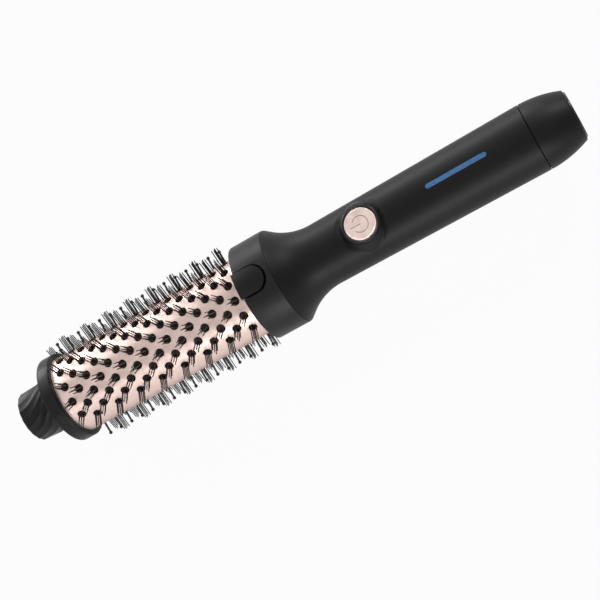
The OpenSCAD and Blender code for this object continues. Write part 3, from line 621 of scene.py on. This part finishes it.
def tab_prism(name, half, back, front, z_low, z_high):
    """The tab's outline, round at the back and square in front, drawn up in Z."""
    piece = round_bar("Z", z_low, z_high, half, across=(back + half, 0), sides=128)
    piece.name = name
    bpy.ops.object.mode_set(mode="EDIT")
    bpy.ops.mesh.select_all(action="SELECT")
    bpy.ops.mesh.bisect(plane_co=((back + half) * MM, 0, 0), plane_no=(1, 0, 0),
                        clear_outer=True, use_fill=True)
    mesh = bmesh.from_edit_mesh(piece.data)
    flat = [f for f in mesh.faces
            if all(v.co.x > (back + half - 0.001) * MM for v in f.verts)]
    bpy.ops.mesh.select_all(action="DESELECT")
    for face in flat:
        face.select_set(True)
    bmesh.update_edit_mesh(piece.data)
    bpy.ops.mesh.extrude_region_move(
        TRANSFORM_OT_translate={"value": ((front - back - half) * MM, 0, 0)})
    bpy.ops.mesh.select_all(action="SELECT")
    bpy.ops.mesh.remove_doubles(threshold=1e-6)
    bpy.ops.mesh.dissolve_limited(angle_limit=math.radians(0.2))
    bpy.ops.mesh.normals_make_consistent(inside=False)
    bpy.ops.object.mode_set(mode="OBJECT")
    return piece


collar_r = 23.4
seat_r, seat_x, wire_hole_r = 19.2, 153.8, 10
collar = lathe("collar_ring", [
    (collar_from, wire_hole_r), (collar_from, collar_r - 0.45),
    (collar_from + 0.08, collar_r - 0.2), (collar_from + 0.25, collar_r - 0.05),
    (collar_from + 0.5, collar_r), (collar_to - 0.7, collar_r),
    (collar_to - 0.45, collar_r - 0.04), (collar_to - 0.23, collar_r - 0.16),
    (collar_to - 0.08, collar_r - 0.34), (collar_to, collar_r - 0.6),
    (collar_to, seat_r + 0.15), (collar_to - 0.05, seat_r + 0.03), (collar_to - 0.2, seat_r),
    (seat_x, seat_r), (seat_x, wire_hole_r)], sides=256)

# The tab's window, which behind the barrel's seat is only a shallow pocket. This tool
# and those below it reach past what they cut.
tab_back, tab_front = span("release_tab", "x")
tab_half = span("release_tab", "y")[1]
window_side, window_back, pocket_r = 0.45, 0.75, 19.6
window = tab_prism("window", tab_half + window_side, tab_back - window_back, 170, 17, 30)
shape_with(window, round_bar("X", 140, seat_x, pocket_r, sides=128), "DIFFERENCE")
shape_with(collar, window, "DIFFERENCE")

# The window's sharp outer edges are softened
bpy.ops.object.mode_set(mode="EDIT")
mesh = bmesh.from_edit_mesh(collar.data)
mesh.normal_update()
bpy.ops.mesh.select_all(action="DESELECT")
for edge in mesh.edges:
    a, b = [v.co / MM for v in edge.verts]
    on_skin = min(math.hypot(a.y, a.z), math.hypot(b.y, b.z)) > collar_r - 0.1
    off_rims = a.x > collar_from + 1 and max(a.x, b.x) < collar_to - 0.8
    if edge.calc_face_angle(0) > 0.9 and on_skin and off_rims:
        edge.select_set(True)
bmesh.update_edit_mesh(collar.data)
bpy.ops.mesh.bevel(offset=0.3 * MM, segments=2)
bpy.ops.object.mode_set(mode="OBJECT")

# The spring's pocket, the hinge pin's hole, and the screws' holes and recesses
spring_x = sum(span("tab_spring", "x")) / 2
spring_low, spring_top = span("tab_spring", "z")
hinge_x = sum(span("tab_pin", "x")) / 2
hinge_z = sum(span("tab_pin", "z")) / 2
hinge_half = span("tab_pin", "y")[1]
hinge_r = 0.75
shape_with(collar, round_bar("Z", spring_low - 0.2, spring_top + 0.9, 1.7,
                             across=(spring_x, 0), sides=32), "DIFFERENCE")
shape_with(collar, round_bar("Y", -hinge_half - 0.1, hinge_half + 0.1, hinge_r + 0.02,
                             across=(hinge_x, hinge_z), sides=32), "DIFFERENCE")
screw_angles = (60, 180, 300)
screw_ring_r, screw_hole_r, screw_head_r = 15.2, 1.25, 2.45
for angle in screw_angles:
    turn = math.radians(angle)
    place = (screw_ring_r * math.sin(turn), screw_ring_r * math.cos(turn))
    shape_with(collar, round_bar("X", collar_from - 1, 155, screw_hole_r, across=place,
                                 sides=32), "DIFFERENCE")
    shape_with(collar, round_bar("X", 152, 155, screw_head_r, across=place, sides=32),
               "DIFFERENCE")

# Moulded and matted: a softer black than the handle, with one wide, faint band of light.
satin_collar = new_material("black_satin_collar", "#171718", 0.45, Specular_IOR_Level=0.22)
surface_grain(satin_collar, 0.4 * MM, 0.006 * MM, 0.42, 0.5)
two_tones(satin_collar, "#151516", "#1a1a1b", 12 * MM)
finish_piece(collar, "brush", "black_satin_plastic", satin_collar, "collar")
dress(plated_steel, "collar_screws")


# ---- Release tab ----
# A pad, moulded in black nylon, that rocks on a steel pin in the collar's window and
# lifts its catch out of the head. A wound steel spring below it pushes it back.
def block(low, high):
    """A box between two corners, in mm."""
    bpy.ops.object.select_all(action="DESELECT")
    bpy.ops.mesh.primitive_cube_add(size=1, location=[(a + b) / 2 * MM
                                                      for a, b in zip(low, high)])
    piece = bpy.context.object
    piece.scale = [(b - a) * MM for a, b in zip(low, high)]
    bpy.ops.object.transform_apply(location=True, rotation=True, scale=True)
    return piece


tab_r = span("release_tab", "z")[1]
tab_floor, heel_z = 19.7, 21.2
tab = tab_prism("release_pad", tab_half, tab_back, tab_front, tab_floor, tab_r + 1.8)
shape_with(tab, round_bar("X", 140, 175, tab_r, sides=256), "INTERSECT")
select_only(tab)
soften = tab.modifiers.new("soften", "BEVEL")
soften.width = 0.9 * MM
soften.segments = 4
soften.limit_method = "ANGLE"
soften.angle_limit = math.radians(50)
bpy.ops.object.modifier_apply(modifier="soften")
shape_with(tab, block((140, -10, 19), (hinge_x, 10, heel_z)), "DIFFERENCE")
catch = block((159.5, -2, 18.2), (161, 2, 19.8))
shape_with(tab, catch, "UNION")
shape_with(tab, round_bar("Y", -8, 8, hinge_r + 0.05, across=(hinge_x, hinge_z), sides=32),
           "DIFFERENCE")

# Moulded and smoother than the collar: it looks darker, with a fine bright rim.
tab_black = new_material("black_satin_tab", "#0c0c0d", 0.36, Specular_IOR_Level=0.26)
surface_grain(tab_black, 0.4 * MM, 0.006 * MM, 0.33, 0.4)
two_tones(tab_black, "#0a0a0b", "#0e0e0f", 8 * MM)
finish_piece(tab, "release_latch", "black_satin_plastic", tab_black, "release_tab")

# Black oxide on steel: a dark, dull metal that hides in its slot.
oxide_steel = new_material("black_oxide_steel", "#1b1b1d", 0.55, Metallic=1.0)
surface_grain(oxide_steel, 0.3 * MM, 0.01 * MM, 0.5, 0.62)
two_tones(oxide_steel, "#18181a", "#202022", 2 * MM)
dress(oxide_steel, "tab_pin")

coil_r, coil_wire_r, coil_turns = 1.3, 0.2, 4.5
bpy.ops.object.select_all(action="DESELECT")
bpy.ops.mesh.primitive_circle_add(vertices=8, radius=coil_wire_r * MM, fill_type="NOTHING",
                                  location=(coil_r * MM, 0, coil_wire_r * MM),
                                  rotation=(math.pi / 2, 0, 0))
spring = bpy.context.object
spring.name = "tab_return_spring"
bpy.ops.object.transform_apply(location=True, rotation=True, scale=True)
coil = spring.modifiers.new("coil", "SCREW")
coil.axis = "Z"
coil.angle = 2 * math.pi * coil_turns
coil.screw_offset = (spring_top - spring_low - 2 * coil_wire_r) * MM
coil.steps = coil.render_steps = round(24 * coil_turns)
bpy.ops.object.modifier_apply(modifier="coil")
bpy.ops.object.mode_set(mode="EDIT")
bpy.ops.mesh.select_all(action="DESELECT")
bpy.ops.mesh.select_non_manifold()
bpy.ops.mesh.fill_holes(sides=0)
bpy.ops.mesh.select_all(action="SELECT")
bpy.ops.mesh.normals_make_consistent(inside=False)
bpy.ops.object.mode_set(mode="OBJECT")
spring.data.transform(Matrix.Translation((spring_x * MM, 0, spring_low * MM)))
finish_piece(spring, "brush", "steel", plated_steel, "tab_spring", angle=60)
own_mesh(spring)


# ---- Handle ----
# The handle: a plastic tube, moulded with its flare and the round seat of the button,
# and sprayed with a soft-touch coat. The collar is screwed to its front.
seam_x, crease_x = span("handle_shell", "x")
flare_x, flare_r, flare_end = 125.48, 28, 38
rear_r, waist_r, handle_bore_r = span("end_cap", "z")[1], 14.9, 12.9
button_x = sum(span("power_button", "x")) / 2
wall = 2


def taper(x):
    """The radius of the handle's long, nearly straight part."""
    return rear_r + (waist_r - rear_r) * (x - seam_x) / (flare_x - seam_x)


def flare_ring(angle, radius):
    """A station on the flare, an arc that starts at the waist."""
    turn = math.radians(angle)
    return (flare_x + radius * math.sin(turn), waist_r + flare_r - radius * math.cos(turn))


# The stations stand close together where the button's seat is drawn up from the tube
stations = [24 + 4 * i for i in range(16)] + [88 + 0.35 * i for i in range(84)]
stations += [118.5, 120.5, 122.5, 124.2]
rings = [(seam_x, handle_bore_r), (seam_x, 15.25), (seam_x + 0.04, 15.6),
         (seam_x + 0.2, 15.77)]
rings += [(x, taper(x)) for x in stations]
rings += [flare_ring(angle, flare_r) for angle in range(0, flare_end + 1, 2)]
rings += [(143.8, 21.68), (144.9, 22.54), (145.6, 23.1), (145.85, 23.22), (145.97, 23.15),
          (crease_x, 22.9), (crease_x, 20.86), (145, 20.08)]
rings += [flare_ring(angle, flare_r + wall) for angle in range(flare_end, 0, -8)]
rings += [(flare_x, handle_bore_r)]
shell = lathe("handle_tube", rings, sides=256)


def blended_height(a, b, width):
    """The larger of two heights, blended over a width where they are close."""
    near = max(width - abs(a - b), 0) / width
    return max(a, b) + near * near * width / 4


# The seat: a flat top that falls away outside its rim, with a shallow trough round it
seat_rim_r, seat_top, seat_fall = 9.1, 15.4, 2.2
trough_depth, trough_w = 1.5, 3.5
for v in shell.data.vertices:
    x, y, z = v.co / MM
    out = math.hypot(x - button_x, y)
    if out < 15 and z > 0 and math.hypot(y, z) > 14:
        past = max(0, out - seat_rim_r)
        dip = trough_depth * max(0, 1 - past / trough_w) ** 2
        v.co.z = blended_height(z - dip, seat_top - seat_fall * past, 0.5) * MM

key_pocket_r, plunger_hole_r = 8.75, 6.1
shape_with(shell, round_bar("Z", 13.8, 20, key_pocket_r, across=(button_x, 0), sides=128),
           "DIFFERENCE")
shape_with(shell, round_bar("Z", 8, 15, plunger_hole_r, across=(button_x, 0)), "DIFFERENCE")

# The slot for the light bar, 0.05 mm larger than the bar all round
slot_gap = 0.05
bar_from, bar_to = span("light_window", "x")
slot_half = span("light_window", "y", 3)[1] + slot_gap
slot_ends = (bar_from - slot_gap + slot_half, bar_to + slot_gap - slot_half)
slot = block((slot_ends[0], -slot_half, 10), (slot_ends[1], slot_half, 18))
for x in slot_ends:
    shape_with(slot, round_bar("Z", 10, 18, slot_half, across=(x, 0), sides=48), "UNION")
shape_with(shell, slot, "DIFFERENCE")

# Soft-touch paint: deep black, with broad, dull bands of light and no sharp shine.
soft_touch = new_material("soft_touch_paint", "#0f0f10", 0.5, Specular_IOR_Level=0.19)
surface_grain(soft_touch, 0.3 * MM, 0.006 * MM, 0.46, 0.54)
two_tones(soft_touch, "#0e0e0f", "#111112", 20 * MM)
finish_piece(shell, "brush", "black_soft_touch", soft_touch, "handle_shell")


# ---- Power button ----
# A round key, turned in metal and plated in rose gold, with a dished face and an
# engraved power symbol. It presses straight down in a moulded ring of gloss black.
def upright(piece):
    """Turns a piece that was made about +X to stand on the button's axis."""
    piece.data.transform(Matrix(((0, 0, -1, button_x * MM), (0, 1, 0, 0), (1, 0, 0, 0),
                                 (0, 0, 0, 1))))


# Stem, flange, rolled rim and then the dish, as (height, radius)
dish_r, dish_z, dish_depth, dish_step = 6.6, 15.36, 0.14, 0.1
rings = [(12.3, axis_r), (12.3, 5.7), (12.35, 5.8), (14.55, 5.8), (14.55, 7.25),
         (14.6, 7.35), (14.7, 7.4), (15.25, 7.4), (15.42, 7.34), (15.54, 7.2), (15.6, 7.05),
         (15.6, 6.9), (15.54, 6.75), (15.44, 6.65), (dish_z, dish_r + 0.02)]
for i in range(round(dish_r / dish_step), 0, -1):
    r = i * dish_step
    rings.append((dish_z - dish_depth * (1 - (r / dish_r) ** 2), r))
rings += [(dish_z - dish_depth, axis_r)]
button = lathe("power_key_cap", rings, sides=240)
upright(button)

# The symbol: an open ring and an upright line, pressed in with soft edges
symbol_r, symbol_half, symbol_edge, symbol_depth = 3.7, 0.15, 0.12, 0.06
symbol_gap, line_top = 34, 4.8
engraving = button.data.attributes.new("engraving", "FLOAT", "POINT")
for v in button.data.vertices:
    x, y, z = v.co / MM
    if z > 15.1:
        x -= button_x
        off_ring = abs(math.hypot(x, y) - symbol_r)
        if math.degrees(math.atan2(abs(y), x)) <= symbol_gap:
            off_ring = symbol_r
        off_line = math.hypot(y, max(0, -x, x - line_top))
        edge = (min(off_ring, off_line) - symbol_half) / symbol_edge
        engraving.data[v.index].value = min(1, max(0, 1 - edge))
        v.co.z -= symbol_depth * engraving.data[v.index].value * MM

# Plate on a spun face: pale pink metal, whose shine fans out from the middle. The engraving
# is painted a darker pink in its base colour, as painted shade in the groove.
rose_plate = new_material("spun_rose_gold_plate", "#f0d9d1", 0.36, Metallic=0.6,
                          Anisotropic=0.8)
surface_grain(rose_plate, 0.5 * MM, 0.003 * MM, 0.33, 0.41)
two_tones(rose_plate, "#edd4ca", "#f3ded7", 3 * MM)
tree = rose_plate.node_tree
shader = tree.nodes["Principled BSDF"]
spun = add_node(tree, "ShaderNodeTangent", direction_type="RADIAL", axis="Z")
tree.links.new(spun.outputs[0], shader.inputs["Tangent"])
engraving_shade_mask = add_node(tree, "ShaderNodeAttribute", attribute_name="engraving")
shade = add_node(tree, "ShaderNodeMix", data_type="RGBA", blend_type="MIX")
tree.links.new(engraving_shade_mask.outputs["Fac"], shade.inputs["Factor"])
tree.links.new(shader.inputs["Base Color"].links[0].from_socket, shade.inputs[6])
# Painted shade: this darker pink is mixed into the base colour along the engraved symbol
shade.inputs[7].default_value = srgb("#a8857b")
tree.links.new(shade.outputs[2], shader.inputs["Base Color"])
finish_piece(button, "power_key", "rose_gold_plate", rose_plate, "power_button")

# Gloss moulding: black with a narrow, clear shine.
gloss_black = new_material("black_gloss_moulding", "#121213", 0.3)
surface_grain(gloss_black, 0.5 * MM, 0.004 * MM, 0.26, 0.34)
two_tones(gloss_black, "#101011", "#151516", 5 * MM)

ring_low, ring_top, ring_bore_r, ring_r = 13.8, 15.8, 7.55, 8.7
bezel = lathe("button_ring", rounded([(ring_low, ring_bore_r), (ring_low, ring_r),
                                      (ring_top, ring_r), (ring_top, ring_bore_r)], 0.5))
upright(bezel)
finish_piece(bezel, "brush", "black_gloss_plastic", gloss_black, "button_bezel")
dress(gloss_black, "switch_plunger")


# ---- Light bar ----
# A slim blue window, moulded in a milky plastic, that is pressed flush into the
# handle over five small lamps of clear resin on the board.

# Milky plastic: an even, quiet blue with no lamp showing through.
light_bar = new_material("blue_diffuser", "#36628f", 0.35)
surface_grain(light_bar, 0.4 * MM, 0.004 * MM, 0.3, 0.4)
two_tones(light_bar, "#315b86", "#3b6998", 1 * MM)
dress(light_bar, "light_window")

# Cast resin: clear, pale yellow and smooth.
led_resin = new_material("cast_led_resin", "#e9e6c8", 0.2)
surface_grain(led_resin, 0.4 * MM, 0.005 * MM, 0.15, 0.25)
two_tones(led_resin, "#e3dfbb", "#efecd5", 1 * MM)
dress(led_resin, "indicator_leds")


# ---- End cap and cord swivel ----
# The cap behind the seam, moulded and painted as the handle is and pressed into it.
# It curves in to a round end, in which the cord's black swivel turns behind a clip.
cap_arc_r, cap_arc_l = 49.21, 18.5
rings = [(seam_x - 0.15, 15.25), (seam_x - 0.19, rear_r - 0.2), (seam_x - 0.3, rear_r - 0.03)]
for i in range(1, 27):
    d = 0.4 + i / 26 * cap_arc_l
    rings.append((seam_x - d, rear_r - cap_arc_r + math.sqrt(cap_arc_r ** 2 - d ** 2)))
cap_from, cap_to = span("end_cap", "x")
cap_spigot_r, cap_bore_r, swivel_seat_r, swivel_hole_r = 12.8, 10.7, 11.2, 7.05
rings += [(cap_from + 0.12, 11.86), (cap_from + 0.02, 11.78), (cap_from, 11.65),
          (cap_from, swivel_seat_r + 0.1), (cap_from + 0.1, swivel_seat_r),
          (2.7, swivel_seat_r), (2.7, swivel_hole_r), (9.7, swivel_hole_r),
          (9.7, cap_bore_r), (cap_to, cap_bore_r), (cap_to, cap_spigot_r - 0.2),
          (cap_to - 0.2, cap_spigot_r), (seam_x - 0.15, cap_spigot_r)]
end_cap = lathe("handle_end", rings, sides=200)
finish_piece(end_cap, "brush", "black_soft_touch", soft_touch, "end_cap")

# The swivel's disc, its bearing neck, and the three grooves for clip and slip rings
cord_r, disc_r, neck_r = 3.5, 11, 7
swivel_l = span("cord_gland", "x")[1]
rings = [(0.25, cord_r), (0, cord_r + 0.25), (0, 10.3), (0.1, 10.62), (0.3, 10.88),
         (0.6, disc_r), (2.3, disc_r), (2.4, disc_r - 0.1), (2.4, neck_r)]
for start, end, inner_r in ((9.75, 10.85, 6.2), (11.6, 13.2, 6.4), (14.2, 15.8, 6.4)):
    rings += [(start, neck_r), (start, inner_r), (end, inner_r), (end, neck_r)]
rings += [(swivel_l - 0.1, neck_r), (swivel_l, neck_r - 0.1), (swivel_l, cord_r)]
swivel = lathe("cord_swivel_disc", rings)
finish_piece(swivel, "cord_swivel", "black_gloss_plastic", gloss_black, "cord_gland")
dress(plated_steel, "gland_clip")
dress(stamped_brass, "slip_rings", "contact_brushes")


# ---- Board and switch ----
# The green board with its parts, screwed into a grey moulded tray inside the
# handle. It is hidden, and so keeps the CAD shapes.

# Moulded plastic: a plain mid grey with a dull skin.
grey_moulding = new_material("grey_moulding", "#4a4d52", 0.5)
surface_grain(grey_moulding, 0.4 * MM, 0.01 * MM, 0.45, 0.6)
two_tones(grey_moulding, "#45484c", "#515459", 8 * MM)
dress(grey_moulding, "tact_switch", "board_tray")
dress(plated_steel, "board_screws")

# Solder mask: a smooth green lacquer over the board.
solder_mask = new_material("green_solder_mask", "#1f5a3a", 0.35)
surface_grain(solder_mask, 0.3 * MM, 0.01 * MM, 0.3, 0.45)
two_tones(solder_mask, "#1b5334", "#246642", 2 * MM)
dress(solder_mask, "main_board")

# Moulded epoxy: a dull charcoal.
black_epoxy = new_material("black_epoxy", "#232327", 0.6)
surface_grain(black_epoxy, 0.2 * MM, 0.01 * MM, 0.55, 0.7)
two_tones(black_epoxy, "#1f1f22", "#29292d", 2 * MM)
dress(black_epoxy, "triac", "controller_chip")

# Potted case: a smooth amber yellow.
amber_case = new_material("amber_capacitor_case", "#b98a2d", 0.3)
surface_grain(amber_case, 0.5 * MM, 0.01 * MM, 0.25, 0.35)
two_tones(amber_case, "#b08227", "#c29334", 4 * MM)
dress(amber_case, "capacitor")

# Dipped coat: glossy blue, with a slightly uneven skin.
blue_dip = new_material("blue_dipped_coat", "#2b5fa8", 0.35)
surface_grain(blue_dip, 0.6 * MM, 0.02 * MM, 0.3, 0.45)
two_tones(blue_dip, "#26579c", "#3168b4", 2 * MM)
dress(blue_dip, "varistor")

# Silicone rubber: a soft red with a faint, greasy shine.
red_silicone = new_material("red_silicone_wire", "#a8322a", 0.45)
surface_grain(red_silicone, 0.4 * MM, 0.01 * MM, 0.4, 0.5)
two_tones(red_silicone, "#9f2c25", "#b33a31", 3 * MM)
dress(red_silicone, "head_wires")
